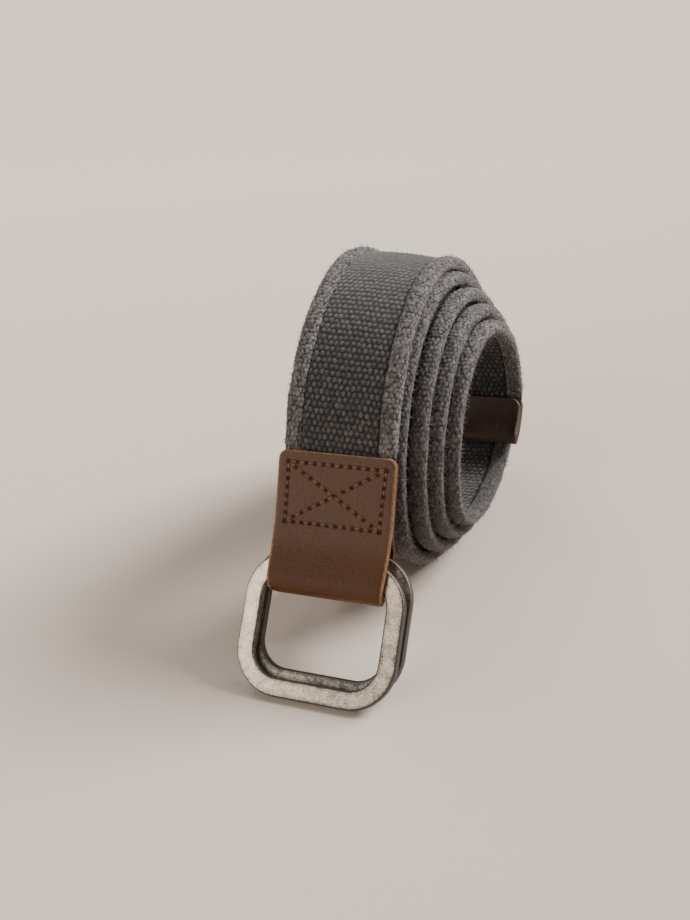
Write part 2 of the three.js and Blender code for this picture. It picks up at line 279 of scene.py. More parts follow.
def make_piece(name, points, quads, caps=(), values=None, materials=(), slots=None):
    """A smooth-shaded mesh object from points in millimetres in the roll's frame. Caps are loops of
    points that close open ends; values are numbers at the points for the materials to read."""
    points = (np.asarray(points, float).reshape(-1, 3) + ORIGIN) * MM
    turned = outward(points, quads)
    caps = [list(map(int, cap)) for cap in caps]
    if turned is not quads:
        caps = [cap[::-1] for cap in caps]
    mesh = bpy.data.meshes.new(name)
    mesh.from_pydata(points.tolist(), [], turned.tolist() + caps)
    for key, numbers in (values or {}).items():
        attribute = mesh.attributes.new(key, "FLOAT", "POINT")
        attribute.data.foreach_set("value", np.asarray(numbers, np.float32).ravel())
    for look in materials:
        mesh.materials.append(look)
    if slots is not None:
        slots = np.concatenate([slots, np.full(len(caps), max(slots))])
        mesh.polygons.foreach_set("material_index", slots.astype(np.int32))
    mesh.shade_smooth()
    mesh.update()
    piece = bpy.data.objects.new(name, mesh)
    bpy.context.scene.collection.objects.link(piece)
    return piece


def make_tubes(name, grid, values=None, materials=(), slots=None):
    """One or many like closed bodies from grids of points, one grid for each. Each row of a grid is one
    closed section, and the ends are capped."""
    count, rows, columns = grid.shape[:3]
    first = rows * columns * np.arange(count)[:, None, None]
    quads = grid_quads(rows, columns, wrap_columns=True) + first
    ring = np.arange(columns)
    caps = np.stack([ring[::-1], ring + (rows - 1) * columns]) + first
    return make_piece(name, grid, quads.reshape(-1, 4), caps.reshape(-1, columns), values, materials, slots)


def attach(piece, body, slot, *nodes):
    """Puts a piece on its body and hides the solids that it stands for. The slot is not used."""
    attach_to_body(piece, body)
    if nodes:
        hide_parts(*nodes)


# Materials


def linear(colour):
    """An sRGB hex colour as linear red, green, blue and alpha."""
    parts = np.array([int(colour[k:k + 2], 16) for k in (1, 3, 5)]) / 255
    return (*np.where(parts <= 0.04045, parts / 12.92, ((parts + 0.055) / 1.055) ** 2.4), 1.0)


def set_sockets(tree, node, sockets):
    """Gives each of a node's sockets a number or colour, or another node's output."""
    for key, value in sockets.items():
        if isinstance(value, bpy.types.NodeSocket):
            tree.links.new(value, node.inputs[key])
        else:
            node.inputs[key].default_value = value


def add_node(tree, kind, sockets=None, stops=(), **settings):
    """Adds a node with its settings, its sockets' values and, where it has a ramp, the ramp's stops as
    places with sRGB hex colours."""
    node = tree.nodes.new(kind)
    for key, value in settings.items():
        setattr(node, key, value)
    set_sockets(tree, node, sockets or {})
    for k, (place, colour) in enumerate(stops):
        node.color_ramp.elements[k].position = place
        node.color_ramp.elements[k].color = linear(colour)
    return node


def new_material(name):
    """A material with an empty node tree, its Principled shader linked to its output, and the object's own
    coordinates. A pattern's scale is the number of its cells in a metre of these: 2 / MM makes two of them
    in each millimetre."""
    look = bpy.data.materials.new(name)
    look.use_nodes = True
    tree = look.node_tree
    tree.nodes.clear()
    shader = add_node(tree, "ShaderNodeBsdfPrincipled")
    add_node(tree, "ShaderNodeOutputMaterial", {"Surface": shader.outputs[0]})
    return look, tree, shader, add_node(tree, "ShaderNodeTexCoord").outputs["Object"]


def woven_cotton(name, crown, valley_shade, sheen):
    """Stone-washed cotton webbing, woven from thick soft-spun yarn: matt and a little furry. Painted shade
    darkens the gaps and leaves each yarn's crown lighter. Every yarn is a slightly different grey, and
    painted light and shade are added to that grey in places."""
    look, tree, shader, place = new_material(name)
    height = add_node(tree, "ShaderNodeAttribute", attribute_name="height").outputs["Fac"]
    tint = add_node(tree, "ShaderNodeAttribute", attribute_name="tint").outputs["Fac"]
    # Tufts of 0.7 mm, and in them fibres down to 0.1 mm, coarser than real ones so that they show.
    fibre = add_node(tree, "ShaderNodeTexNoise", {"Vector": place, "Scale": 1.4 / MM, "Detail": 3.0})
    shade = add_node(tree, "ShaderNodeMath", {0: fibre.outputs["Fac"], 1: 1.9, 2: -0.95},
                     operation="MULTIPLY_ADD")
    rise = add_node(tree, "ShaderNodeMath", {0: height, 1: shade.outputs[0]})
    # The ramp's low end is painted shade in the gaps between the yarns.
    ramp = add_node(tree, "ShaderNodeValToRGB", {"Fac": rise.outputs[0]}, ((0.05, valley_shade), (0.85, crown)))
    bright = add_node(tree, "ShaderNodeMath", {0: tint, 1: 0.55, 2: 0.72}, operation="MULTIPLY_ADD")
    colour = add_node(tree, "ShaderNodeHueSaturation", {"Color": ramp.outputs["Color"],
                                                         "Value": bright.outputs[0]})
    bump = add_node(tree, "ShaderNodeBump", {"Height": fibre.outputs["Fac"], "Strength": 0.5,
                                              "Distance": 0.2 * MM})
    set_sockets(tree, shader, {"Base Color": colour.outputs["Color"], "Normal": bump.outputs[0],
                               "Roughness": 0.95, "Sheen Weight": sheen, "Sheen Roughness": 0.5,
                               "Specular IOR Level": 0.2})
    return look


def pull_up_leather(name, dark, light):
    """Full-grain cow leather, oiled and lightly buffed: brown with cloudy lighter and darker patches, a fine
    pebbled grain and a soft satin gloss. Painted shade darkens the dimples around the stitches, and less so
    the fold and the layer behind it."""
    look, tree, shader, place = new_material(name)
    # Clouds of 6 mm, grain cells of 0.9 mm and creases of 0.6 mm. The grain is coarser than real grain so
    # that it shows.
    clouds = add_node(tree, "ShaderNodeTexNoise", {"Vector": place, "Scale": 0.16 / MM, "Detail": 6.0,
                                                    "Roughness": 0.62})
    grain = add_node(tree, "ShaderNodeTexVoronoi", {"Vector": place, "Scale": 1.15 / MM},
                     feature="SMOOTH_F1")
    fine = add_node(tree, "ShaderNodeTexNoise", {"Vector": place, "Scale": 1.8 / MM, "Detail": 2.0})
    dent = add_node(tree, "ShaderNodeAttribute", attribute_name="dent").outputs["Fac"]
    bent = add_node(tree, "ShaderNodeAttribute", attribute_name="bent").outputs["Fac"]
    ramp = add_node(tree, "ShaderNodeValToRGB", {"Fac": clouds.outputs["Fac"]}, ((0.3, dark), (0.72, light)))
    shade = add_node(tree, "ShaderNodeMath", {0: fine.outputs["Fac"], 1: 0.5, 2: 0.75},
                     operation="MULTIPLY_ADD")
    # Stitch holes are painted darker, as painted shade, and redder, and so is the leather in the fold and the
    # layer behind it, but less.
    fold_shade = add_node(tree, "ShaderNodeMath", {0: bent, 1: -0.22, 2: shade.outputs[0]},
                      operation="MULTIPLY_ADD")
    sunk = add_node(tree, "ShaderNodeMath", {0: dent, 1: -0.85, 2: fold_shade.outputs[0]},
                    operation="MULTIPLY_ADD")
    deep = add_node(tree, "ShaderNodeMath", {0: dent, 1: 0.5, 2: 1.0}, operation="MULTIPLY_ADD")
    warm = add_node(tree, "ShaderNodeMath", {0: bent, 1: 0.3, 2: deep.outputs[0]}, operation="MULTIPLY_ADD")
    colour = add_node(tree, "ShaderNodeHueSaturation", {"Color": ramp.outputs["Color"],
                                                         "Saturation": warm.outputs[0],
                                                         "Value": sunk.outputs[0]})
    relief = add_node(tree, "ShaderNodeMath", {0: grain.outputs["Distance"], 1: 0.8,
                                                2: fine.outputs["Fac"]}, operation="MULTIPLY_ADD")
    bump = add_node(tree, "ShaderNodeBump", {"Height": relief.outputs[0], "Strength": 0.75,
                                              "Distance": 0.2 * MM})
    gloss = add_node(tree, "ShaderNodeMath", {0: clouds.outputs["Fac"], 1: 0.2, 2: 0.38},
                     operation="MULTIPLY_ADD")
    set_sockets(tree, shader, {"Base Color": colour.outputs["Color"], "Normal": bump.outputs[0],
                               "Roughness": gloss.outputs[0], "Specular IOR Level": 0.35})
    return look


def cut_leather_edge(name, dark, light):
    """The cut edge of vegetable-tanned leather, left raw: tan, matt, with fine fibres along the layer."""
    look, tree, shader, place = new_material(name)
    # Bundles of 0.7 mm, and in them fibres down to 0.04 mm.
    fibre = add_node(tree, "ShaderNodeTexNoise", {"Vector": place, "Scale": 1.5 / MM, "Detail": 4.0})
    ramp = add_node(tree, "ShaderNodeValToRGB", {"Fac": fibre.outputs["Fac"]}, ((0.35, dark), (0.65, light)))
    bump = add_node(tree, "ShaderNodeBump", {"Height": fibre.outputs["Fac"], "Strength": 0.4,
                                              "Distance": 0.15 * MM})
    set_sockets(tree, shader, {"Base Color": ramp.outputs["Color"], "Normal": bump.outputs[0],
                               "Roughness": 0.85})
    return look


def twisted_thread(name, dark, light):
    """Waxed polyester thread, three plies twisted together: tan, with slanting plies and a low gloss."""
    look, tree, shader, place = new_material(name)
    run = add_node(tree, "ShaderNodeAttribute", attribute_name="ply").outputs["Fac"]
    # Worn spots of 2 mm, about half a stitch.
    worn = add_node(tree, "ShaderNodeTexNoise", {"Vector": place, "Scale": 0.5 / MM, "Detail": 3.0})
    mixed = add_node(tree, "ShaderNodeMath", {0: worn.outputs["Fac"], 1: 0.8, 2: run},
                     operation="MULTIPLY_ADD")
    ramp = add_node(tree, "ShaderNodeValToRGB", {"Fac": mixed.outputs[0]}, ((0.3, dark), (0.9, light)))
    set_sockets(tree, shader, {"Base Color": ramp.outputs["Color"], "Roughness": 0.6,
                               "Specular IOR Level": 0.3})
    return look


def antique_nickel(name, dark, light):
    """Cast zinc alloy, nickel plated, darkened and tumbled: satin, warm grey, cloudy, with dark patina left
    along the edges and in small pits."""
    look, tree, shader, place = new_material(name)
    # This attribute holds the patina and painted shade: painted shade all over the rear ring, and most at
    # each ring's lower right corner.
    patina_and_shade = add_node(tree, "ShaderNodeAttribute", attribute_name="patina_and_shade").outputs["Fac"]
    # Clouds of 2.6 mm and pits of 0.4 mm.
    clouds = add_node(tree, "ShaderNodeTexNoise", {"Vector": place, "Scale": 0.38 / MM, "Detail": 7.0,
                                                    "Roughness": 0.65})
    speck = add_node(tree, "ShaderNodeTexNoise", {"Vector": place, "Scale": 2.3 / MM, "Detail": 2.0})
    worn = add_node(tree, "ShaderNodeMath", {0: clouds.outputs["Fac"], 1: 0.8, 2: -0.74},
                    operation="MULTIPLY_ADD")
    flecked = add_node(tree, "ShaderNodeMath", {0: speck.outputs["Fac"], 1: 0.95, 2: worn.outputs[0]},
                       operation="MULTIPLY_ADD")
    amount = add_node(tree, "ShaderNodeMath", {0: patina_and_shade, 1: flecked.outputs[0]}, use_clamp=True)
    ramp = add_node(tree, "ShaderNodeValToRGB", {"Fac": amount.outputs[0]}, ((0.05, light), (0.8, dark)))
    rough = add_node(tree, "ShaderNodeMath", {0: amount.outputs[0], 1: 0.2, 2: 0.36},
                     operation="MULTIPLY_ADD")
    bump = add_node(tree, "ShaderNodeBump", {"Height": flecked.outputs[0], "Strength": 0.3,
                                              "Distance": 0.1 * MM})
    set_sockets(tree, shader, {"Base Color": ramp.outputs["Color"], "Normal": bump.outputs[0],
                               "Metallic": 1.0, "Roughness": rough.outputs[0]})
    return look


def matt_board(name, colour):
    """Studio board, painted matt: a warm pale grey without gloss. Painted light makes it a little paler to
    the back and darker in front.
    """
    look, tree, shader, place = new_material(name)
    # Painted light: the colour grows paler towards the back and darker in front.
    away = add_node(tree, "ShaderNodeVectorMath", {0: place, 1: (-0.15, 0.9, 0.0)}, operation="DOT_PRODUCT")
    shade = add_node(tree, "ShaderNodeMapRange", {"Value": away.outputs["Value"], "From Min": -0.2,
                                                   "From Max": 0.4, "To Min": 0.84, "To Max": 1.22})
    tone = add_node(tree, "ShaderNodeHueSaturation", {"Color": linear(colour), "Value": shade.outputs[0]})
    set_sockets(tree, shader, {"Base Color": tone.outputs["Color"], "Roughness": 1.0,
                               "Specular IOR Level": 0.0})
    return look


# Webbing


def woven_domes(across, along, pitch, row_pitch, half, jitter, seed, wrap=0):
    """Height from 0 to 1 and a random tint for each yarn. Rows of domes stand one row pitch apart, and
    each second row is shifted by half a column. A dome is (1 - r^2)^0.7, where r is the distance from its
    middle in shares of its half width and half length, and the highest of three rows wins."""
    best, tint = np.zeros(across.shape), np.full(across.shape, 0.4)
    middle = np.round(along / row_pitch)
    for step in (-1, 0, 1):
        row = middle + step
        shift = 0.5 * np.mod(row, 2)
        column = np.round(across / pitch - shift)
        cell = np.mod(column, wrap) if wrap else column
        off_across = across - (column + shift) * pitch - jitter * (cell_random(cell, row, seed) - 0.5)
        off_along = along - row * row_pitch - jitter * (cell_random(cell, row, seed + 1) - 0.5)
        size = 1 + 0.3 * jitter * (cell_random(cell, row, seed + 2) - 0.5)
        r2 = ((off_across / half[0]) ** 2 + (off_along / half[1]) ** 2) / size**2
        dome = np.clip(1 - r2, 0, None) ** 0.7 * (0.8 + 0.4 * cell_random(cell, row, seed + 3))
        higher = dome > best
        best = np.where(higher, dome, best)
        tint = np.where(higher, cell_random(cell, row, seed + 4), tint)
    return best, tint


PANEL_HALF = 13.3  # the panel reaches a little into both edges
PANEL_WOVEN, PANEL_PLAIN = 71, 8  # points across a face that shows its weave, and one that nothing shows
PANEL_STEP, PANEL_PLAIN_STEP = 0.42, 2.0  # between the rows of points along such faces
PANEL_PRESSED = 0.24  # how much thinner the panel's half is under the leather
PANEL_BOW = 0.8  # how far the outer turn's panel bows out at the top
EDGE_FULL = 2.62  # half the height of an edge that has room
EDGE_PRESSED = 0.62  # half the height of an edge under the leather
EDGE_GAP = 0.3  # between the edges of two turns
EDGE_COLUMNS = 12  # clumps of yarn round an edge
EDGE_POINTS = 56  # mesh points round an edge
EDGE_STEP = 0.31  # between the rows of points along an edge
FIBRE_ROOT = 0.1  # half the width of a loose fibre at its root
FIBRE_SUNK = 0.25  # how deep it stands in the yarn
FLOOR_GAP = 0.02  # nothing of the webbing comes closer to the floor


def webbing_panel(name, look, start, end, step, outer_columns, inner_columns, yarn):
    """A length of the thin middle panel: a closed slab whose wide faces carry the woven domes, raised by
    their height and lowered to almost nothing where the panel runs into the edges. A plain face has no
    domes, because nothing shows it."""
    at = np.linspace(start, end, int((end - start) / step) + 2)[:, None]
    grids, heights, tints = [], [], []
    for columns, side in ((outer_columns, 1), (inner_columns, -1)):
        across = np.linspace(-PANEL_HALF, PANEL_HALF, columns)[None, ::side]
        across, along = np.broadcast_arrays(across, at)
        if columns == PANEL_WOVEN:
            # The rows slant a little and wander by a quarter of a millimetre.
            lean = along + 0.06 * across + 0.25 * drift_noise(across / 7, along / 9, 5)
            height, tint = woven_domes(across, lean, pitch=yarn["pitch"], row_pitch=yarn["row"],
                                       half=(0.8, 1.0), jitter=0.34, seed=11 * side)
        else:
            height, tint = np.full(across.shape, 0.7), np.full(across.shape, 0.5)
        press = pressed(along)
        half = STRAP["panel"] / 2 - PANEL_PRESSED * press
        out = half - yarn["height"] + yarn["height"] * height
        out = out * (1 - 0.85 * smooth_step(np.abs(across), PANEL_HALF - 0.9, PANEL_HALF))
        turn = LINE.turn_at(along)
        bowed = PANEL_BOW * smooth_step(turn, 0.05, 0.2) * (1 - smooth_step(turn, 0.45, 0.6))
        bowed = bowed * (1 - (across / PANEL_HALF) ** 2)
        grids.append(LINE.place(along, across, side * out + bowed))
        heights.append(height)
        # The outer face is painted lighter on the tail and at the roll's start, as painted light, and the
        # inner face is painted darker, as painted shade.
        tints.append(tint + (0.42 * (1 - smooth_step(turn, -0.02, 0.12)) if side > 0 else -0.6))
    values = {"height": np.concatenate(heights, 1), "tint": np.concatenate(tints, 1)}
    return make_tubes(name, np.concatenate(grids, 1)[None], values, [look])


def full_round(angle):
    """The cosine and sine of an angle to the power 0.8, signs kept: an oval with fuller shoulders."""
    cos, sin = np.cos(angle), np.sin(angle)
    return np.sign(cos) * np.abs(cos) ** 0.8, np.sign(sin) * np.abs(sin) ** 0.8


def oval_section(count, wide, high):
    """Angles round a full oval, with equal lengths of its rim between them."""
    dense = np.linspace(0, 2 * np.pi, 1441)
    x, y = full_round(dense)
    rim = run_along(np.stack([wide * x, high * y], axis=-1))
    return np.interp(np.arange(count) / count * rim[-1], rim, dense)


def edge_room(at):
    """Half the height that the edges have at each place: half the way to the next turn in or out, less
    half a gap, and no more than the edges' own fullness."""
    turn = LINE.turn_at(at)
    heading = np.interp(at, LINE.at, LINE.heading)
    y, z = roll_line(turn)
    room = np.full(np.shape(turn), 2 * EDGE_FULL + EDGE_GAP)
    for other in (turn - 1, turn + 1):
        next_y, next_z = roll_line(other)
        apart = np.abs((next_z - z) * np.cos(heading) - (next_y - y) * np.sin(heading))
        room = np.where((other >= 0) & (other <= ROLL["end_turn"]), np.minimum(room, apart), room)
    return (room - EDGE_GAP) / 2


def edge_felt_and_shade(at):
    """How far the edges' yarn is rubbed to felt, and painted darker as painted shade, at each place, from 0
    to 1: a raised cosine over each turn, to the power 0.6, least at its top front and most at its foot, and
    weaker on the outer turn."""
    turn = LINE.turn_at(at)
    low = (0.5 - 0.5 * np.cos(2 * np.pi * (turn - 0.2))) ** 0.6
    return low * (0.3 + 0.7 * smooth_step(turn, 0.75, 1))


def webbing_edge(name, look, side, start, end, yarn):
    """A length of one thick edge: an oval tube along the strap's side, with clumps of yarn as staggered domes
    all round it that vary in place, size and height. It swells to fill the room between turns. Where the yarn
    is felted, the domes are lower and of a more even tone, and painted shade makes them darker. On the tail
    and at the roll's start, painted light makes the yarn lighter."""
    at = np.linspace(start, end, int((end - start) / EDGE_STEP))[:, None]
    high = edge_room(at)
    angle, along = np.broadcast_arrays(oval_section(EDGE_POINTS, EDGE_HALF, EDGE_FULL)[None, :], at)
    around_rim = np.broadcast_to(np.arange(EDGE_POINTS) / EDGE_POINTS * EDGE_COLUMNS, angle.shape)
    # The yarns wander along the edge and twist round it. Lumps break up their even domes.
    wander = 0.35 * drift_noise(along / 4, around_rim / 2, 21)
    twist = 0.2 * np.sin(along / 9) + 0.25 * drift_noise(along / 6, around_rim / 3, 23)
    height, tint = woven_domes(around_rim + twist, along + wander, pitch=1.0, row_pitch=yarn["edge_row"],
                               half=(0.52, 0.9), jitter=0.5, seed=31 + side, wrap=EDGE_COLUMNS)
    lumps = drift_noise(along / 1.6, around_rim / 1.3, 51 + side)
    felt_and_shade = edge_felt_and_shade(along)
    height = np.clip(0.5 + (height + 0.25 * lumps - 0.5) * (0.8 - 0.5 * felt_and_shade), 0, 1.2)
    # Painted light makes the tail and the roll's start lighter, and painted shade makes the felted foot of
    # each turn darker.
    painted_light = 1 - smooth_step(LINE.turn_at(along), -0.02, 0.1)
    tint = 0.5 + (tint - 0.5) * (1 - 0.5 * felt_and_shade) - 0.8 * felt_and_shade + 0.2 * painted_light
    # The whole edge also gets thicker and thinner, over some 8 mm of its length.
    press = pressed(along)
    swell = 0.16 * drift_noise(along / 8, 0 * along, 41 + side)
    bump = yarn["edge_height"] * (height - 1)
    # An edge fills its room in the roll, and is pressed flat and a little narrower under the leather.
    half_high = (high + bump + 0.06 + 0.5 * swell) * (1 - press) + EDGE_PRESSED * press
    half_wide = (EDGE_HALF + bump + swell) * (1 - press) + (EDGE_HALF - 0.3) * press
    x, y = full_round(angle)
    grid = LINE.place(along, side * EDGE_MIDDLE + half_wide * x, half_high * y)
    grid[..., 2] = np.maximum(grid[..., 2], FLOOR_GAP)
    return make_tubes(name, grid[None], {"height": height, "tint": tint}, [look])


def loose_fibres(name, look, side, count, longest):
    """Cotton fibres that stand off one edge: thin three-sided hairs that curl over, each a tapered
    triangle carried along a bent line of five points. Real fibres are finer than 0.05 mm; these are
    0.2 mm wide at the root so that they show."""
    rng = np.random.default_rng(12 + side)
    # They stand between the tab and the tip, on the outer half of the edge's rim.
    at = rng.uniform(-TAB["top"] + 2, LINE.end - TIP_OVERLAP - 4, count)
    angle = rng.uniform(-0.55 * np.pi, 0.55 * np.pi, count)
    length = longest * rng.uniform(0.3, 1, count)
    tilt, curl = rng.uniform(-1.2, 1.2, count), rng.uniform(-1.5, 1.5, count)
    run = np.linspace(0, 1, 5)[None, :]
    lift = length[:, None] * run * np.cos(tilt[:, None] * 0.7)
    slide = length[:, None] * (np.sin(tilt)[:, None] * run + curl[:, None] * 0.5 * run**2)
    reach_side = side * (EDGE_HALF - FIBRE_SUNK + lift) * np.cos(angle)[:, None]
    reach_out = (edge_room(at)[:, None] - FIBRE_SUNK + lift) * np.sin(angle)[:, None]
    corner = np.array([0, 1, 2]) * 2 * np.pi / 3
    radius = FIBRE_ROOT * (1 - 0.75 * run[..., None])
    along = at[:, None, None] + slide[..., None] + radius * np.cos(corner)
    across = side * EDGE_MIDDLE + reach_side[..., None] + radius * np.sin(corner)
    out = reach_out[..., None] + radius * np.sin(corner)
    grid = LINE.place(along, across, out)
    grid[..., 2] = np.maximum(grid[..., 2], FLOOR_GAP)
    values = {"height": np.full(along.shape, 0.9), "tint": np.full(along.shape, 0.6)}
    return make_tubes(name, grid, values, [look])


# Leather


def smooth_path(points, step):
    """An evenly spaced row of points on a Catmull-Rom curve with centripetal knots through the given
    points, worked out by the Barry-Goldman pyramid."""
    points = np.asarray(points, float)
    padded = np.concatenate([[2 * points[0] - points[1]], points, [2 * points[-1] - points[-2]]])
    knots = np.concatenate([[0], np.cumsum(np.sqrt(np.linalg.norm(np.diff(padded, axis=0), axis=1)))])
    t = np.linspace(knots[1], knots[-2], 4000)
    i = np.clip(np.searchsorted(knots, t, "right") - 1, 1, len(points) - 1)

    def blend(p, q, a, b):
        """The point between p and q that lies where t lies between two knots."""
        share = ((t - knots[a]) / (knots[b] - knots[a]))[:, None]
        return p * (1 - share) + q * share

    p = [padded[i + k] for k in (-1, 0, 1, 2)]
    a = [blend(p[k], p[k + 1], i - 1 + k, i + k) for k in range(3)]
    b = [blend(a[k], a[k + 1], i - 1 + k, i + 1 + k) for k in range(2)]
    curve = blend(b[0], b[1], i, i + 1)
    run = run_along(curve)
    return points_at(np.linspace(0, run[-1], int(run[-1] / step) + 1), run, curve)


def seam_holes(seams):
    """The holes of a seam at the ends of its stitches, each as two places (across, down) that make it
    a little longer than wide."""
    rows = []
    for x0, d0, x1, d1, count in seams:
        share = np.linspace(0, 1, count + 1)
        half = HOLE_LENGTH / 2 / np.hypot(x1 - x0, d1 - d0)
        share = np.concatenate([share - half, share + half])
        rows.append(np.stack([x0 + (x1 - x0) * share, d0 + (d1 - d0) * share], axis=-1))
    return np.concatenate(rows)


def dents(across, down, holes, size):
    """How deep the leather is drawn in at its stitch holes: the sum of bell curves round the holes."""
    depth = np.zeros(across.shape)
    for x, d in holes:
        depth += np.exp(-(((across - x) ** 2 + (down - d) ** 2) / (2 * size**2)) ** 1.5)
    return np.minimum(depth, 1)


def leather_strip(name, looks, path, side, half_width, thickness, lip, bent, dent, columns=105):
    """A leather strip along a row of (y, z) points: a closed section of an outer face, a rounded rim, an
    inner face and a second rim, carried along the row. The inner face steps inwards by lip near both rims,
    so that two layers close up there. Dent draws the outer face in."""
    rows = len(path)
    heading = np.unwrap(np.arctan2(np.gradient(path[:, 1]), np.gradient(path[:, 0])))
    half_width, side, lip, bent, heading = (row[:, None] for row in (half_width, side, lip, bent, heading))
    bend = np.linspace(0, np.pi, 7)[1:-1]
    ones = np.ones(len(bend))
    outer = np.linspace(-1, 1, columns)
    inner = np.array([1, 0.985, 0.965, 0.95, 0.93, 0.6, 0.2])
    inner = np.concatenate([inner, -inner[::-1]])
    across = np.concatenate([outer, ones, inner, -ones]) * (half_width - LEATHER["rim"])
    level = np.concatenate([0 * outer + 1, np.cos(bend), 0 * inner - 1, -np.cos(bend)])
    bulge = np.concatenate([0 * outer, np.sin(bend), 0 * inner, -np.sin(bend)]) * LEATHER["rim"]
    near_rim = np.concatenate([0 * outer, ones, smooth_step(np.abs(inner), 0.955, 0.98), ones])
    out = level * thickness / 2 - np.where(level < 0.5, lip * near_rim * (1 - level) / 2, 0)
    drawn_in = np.zeros(out.shape)
    drawn_in[:, :columns] = dent(across[:, :columns], np.arange(rows))
    out = out - LEATHER["hole_depth"] * drawn_in
    # The outer face falls off a little towards both rims.
    fall = smooth_step(np.abs(across), half_width - LEATHER["rim_run"], half_width) * (level > 0.5)
    out = out - LEATHER["rim_drop"] * fall
    x = side + across + bulge
    y = path[:, :1] + out * np.sin(heading)
    z = path[:, 1:] - out * np.cos(heading)
    # The quads at the strip's ends, and the third of each rim next to the outer face with the face's last
    # quad, show the cut edge; the rest of each rim keeps the darker grain leather, as painted shade.
    slots = np.zeros((rows - 1, out.shape[1]), int)
    slots[:, [0, columns - 2, columns - 1, columns, -2, -1]] = 1
    slots[[0, -1]] = 1
    values = {"dent": drawn_in, "bent": np.broadcast_to(bent, out.shape)}
    return make_tubes(name, np.stack([x, y, z], axis=-1)[None], values, looks, slots.ravel())


def on_strap(run, first, last, ease):
    """1 where a strip lies on the strap, up to a first place and again from a last one, and 0 in the fold
    between them, with a smooth step at both."""
    return np.maximum(1 - smooth_step(run, first, first + ease), smooth_step(run, last - ease, last))


def corner_width(run, total, halves):
    """Half the strip's width at each place: a table's value at the share of its length, with quarter-round
    corners at both ends."""
    radius = LEATHER["corner"]
    half = table_value(halves, run / total)
    left = radius - np.minimum(np.minimum(run, total - run), radius)
    return half - radius + np.sqrt(np.maximum(radius**2 - left**2, 0.02))


def ring_bar(slope, foot):
    """The middle (y, z) of the top bar of a ring that stands on the floor in front of the roll, with the
    directions down the ring and out of its plane."""
    cos, sin = np.cos(np.radians(slope)), np.sin(np.radians(slope))
    reach = RING["height"] - RING["bar"] / 2
    back = RING["thickness"] / 2 - RING["bevel"]
    middle = np.array([reach * cos - back * sin - foot, reach * sin + back * cos])
    return middle, np.array([-cos, -sin]), np.array([-sin, cos])


def tab_path():
    """The middle line of the tab's leather from the front layer's top, down round both bars and up the
    back, with the distance of each point along it. The fold and the last few millimetres of both layers
    are one curve, so that they run into each other smoothly."""
    bar, down, outwards = ring_bar(RING["slope"], RING["foot"])
    fold = [bar + d * down + o * outwards for d, o in TAB_FOLD]
    out = LEATHER_INSIDE + LEATHER["thickness"] / 2
    front, rear = (
        LINE.place(-np.arange(top, TAB["seam_end"] + 0.01, LAYER_STEP), 0.0, face)[:, 1:]
        for top, face in ((TAB["top"], out), (TAB["back_top"], -out))
    )
    rear = rear[::-1]
    last, each = 12, 5  # the points at the end of a layer that the curve replaces, and which of them it keeps
    points = [*front[-last:-1:each], front[-1], *fold, rear[0], *rear[1:last:each]]
    path = np.concatenate([front[:-last], smooth_path(points, LAYER_STEP), rear[last:]])
    run = run_along(path)
    even = np.linspace(0, run[-1], int(run[-1] / TAB_STEP))
    path = points_at(even, run, path)
    return np.stack([softened(path[:, k], TAB_BLUR, TAB_STEP) for k in range(2)], axis=-1), even


STITCH_SINK = 0.4  # how deep a stitch's ends lie in its holes
STITCH_RISE = 0.18  # how far its middle stands off the leather


def stitch_rows(name, look, seams, end_at, face, width, gap):
    """Stitches as short arched cords, on the strap's face at a distance out from its middle: each lies
    from hole to hole of its seam, gap short of both, its ends sunk in the holes. A stitch is a small oval
    section carried along nine points of an arch, which is a sine to the power 0.45."""
    starts, ends = [], []
    for x0, d0, x1, d1, count in seams:
        share = np.linspace(0, 1, count + 1)[:, None]
        row = np.array([x0, d0]) + (np.array([x1, d1]) - np.array([x0, d0])) * share
        starts.append(row[:-1])
        ends.append(row[1:])
    start, end = np.concatenate(starts), np.concatenate(ends)
    length = np.linalg.norm(end - start, axis=1)[:, None]
    way = (end - start) / length
    start, end = start + way * gap, end - way * gap
    run = np.linspace(0, 1, 9)
    middle = start[:, None, :] + (end - start)[:, None, :] * run[None, :, None]
    arch = np.sin(np.pi * run) ** 0.45
    corner = np.arange(8) * np.pi / 4
    thin = (0.55 + 0.45 * arch)[None, :, None] * width / 2
    sideways = np.stack([-way[:, 1], way[:, 0]], axis=-1)
    across = middle[..., 0][..., None] + sideways[:, None, None, 0] * thin * np.cos(corner)
    down = middle[..., 1][..., None] + sideways[:, None, None, 1] * thin * np.cos(corner)
    lift = (arch * (STITCH_SINK + STITCH_RISE) - STITCH_SINK)[None, :, None] + 0.75 * thin * np.sin(corner)
    grid = LINE.place(end_at - down, across, face + np.sign(face) * lift)
    # Two plies show on a stitch, and turn about twice round it.
    ply = np.broadcast_to(0.25 + 0.25 * np.sin(run[None, :, None] * 14 + corner * 2), across.shape)
    return make_tubes(name, grid, {"ply": ply}, [look])


# Rings


RING_POINTS = 300  # mesh points round a ring


